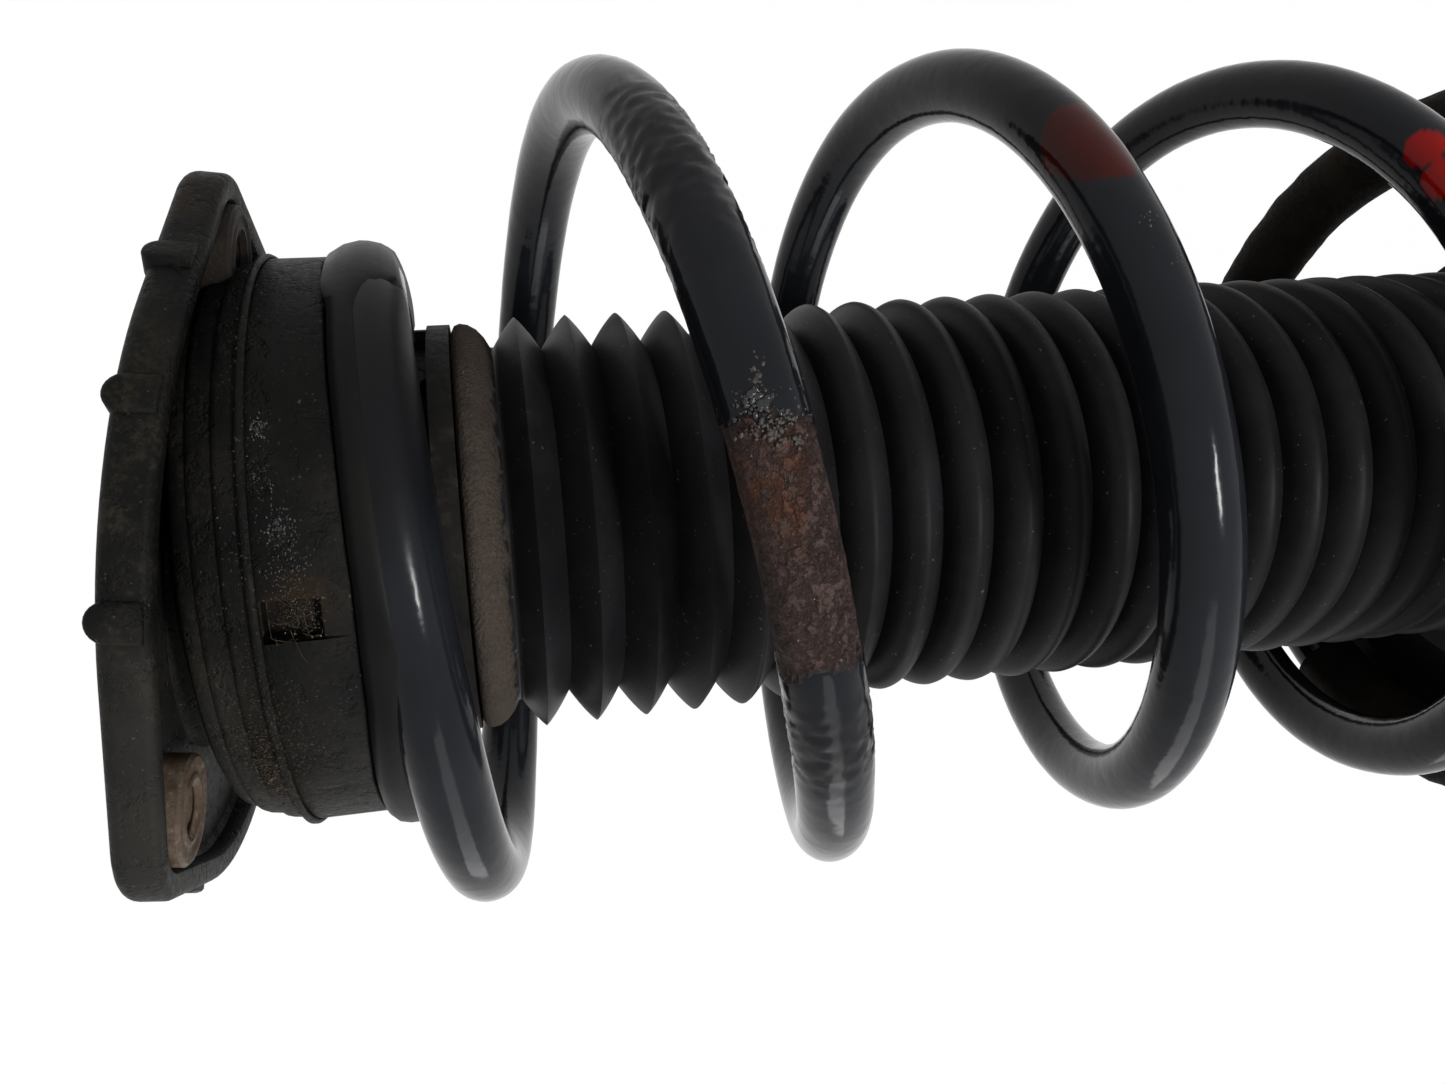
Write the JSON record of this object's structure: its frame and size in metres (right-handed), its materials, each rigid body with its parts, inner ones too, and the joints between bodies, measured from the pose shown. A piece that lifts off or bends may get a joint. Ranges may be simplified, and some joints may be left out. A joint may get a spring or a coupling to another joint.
{
  "type": "suspension strut",
  "caption": "Front suspension strut with tilted three-lobed top mount, pigtail coil spring, pleated dust boot, damper tube and two-bolt knuckle bracket.",
  "frame": {"origin": "middle of the three threaded inserts on the outer face of the top mount, on the damper axis", "axes": "+Z along the damper axis from the tube to the top mount; the knuckle bracket opens towards -X; the mounting face leans 7 degrees about Y"},
  "size_m": [0.1546, 0.1511, 0.5089],
  "materials": {
    "mount_plastic": "moulded, dusty",
    "insert_steel": "rusty tan",
    "black_rubber": "matt",
    "steel_part": "zinc plated",
    "bearing_steel": "ground",
    "cage_plastic": "moulded",
    "collar_plastic": "dusty",
    "spring_paint": "glossy, chipped and rusty in places",
    "sleeve_rubber": "matt, dusty",
    "boot_rubber": "satin",
    "bump_foam": "foam",
    "chrome_rod": "polished",
    "piston_alloy": "machined",
    "ring_polymer": "low friction",
    "tube_paint": "satin black"
  },
  "bodies": {
    "top_mount": {"mount_flange": "mount_plastic", "threaded_inserts": "insert_steel", "mount_housing": "mount_plastic", "rubber_bush": "black_rubber", "bush_sleeve": "steel_part", "top_washer": "steel_part", "rod_nut": "steel_part", "bearing_top_race": "bearing_steel", "bump_stop_cup": "steel_part", "bump_stop": "bump_foam", "piston_rod": "chrome_rod", "rebound_stop": "black_rubber", "piston": "piston_alloy", "piston_ring": "ring_polymer", "piston_nut": "steel_part"},
    "ball_cage": {"bearing_balls": "bearing_steel", "bearing_cage": "cage_plastic"},
    "upper_seat": {"bearing_lower_race": "bearing_steel", "upper_spring_seat": "mount_plastic", "spring_insulator": "black_rubber", "boot_collar": "collar_plastic", "coil_spring": "spring_paint", "spring_sleeve": "sleeve_rubber", "dust_boot": "boot_rubber"},
    "damper_body": {"tube_cap": "steel_part", "rod_seal": "black_rubber", "rod_guide": "piston_alloy", "pressure_tube": "steel_part", "base_valve": "piston_alloy", "damper_tube": "tube_paint", "lower_spring_seat": "tube_paint", "lower_pad": "black_rubber", "knuckle_bracket": "tube_paint", "link_bracket": "tube_paint", "hose_bracket": "tube_paint"}
  },
  "joints": [
    {"name": "steer", "type": "hinge", "parent": "top_mount", "child": "upper_seat", "pos_m": [0, 0, -0.0163], "axis": [0, 0, 1], "range_deg": [-38, 38]},
    {"name": "cage_roll", "type": "hinge", "parent": "top_mount", "child": "ball_cage", "pos_m": [0, 0, -0.0163], "axis": [0, 0, 1], "range_deg": [-19.5, 19.5]},
    {"name": "travel", "type": "slide", "parent": "upper_seat", "child": "damper_body", "axis": [0, 0, 1], "range_m": [0, 0.118], "stiffness_N_per_m": 23000, "deforming": ["coil_spring", "spring_sleeve", "dust_boot"]}
  ],
  "couplings": [
    {"joint": "cage_roll", "follows": "steer", "ratio": 0.5}
  ]
}
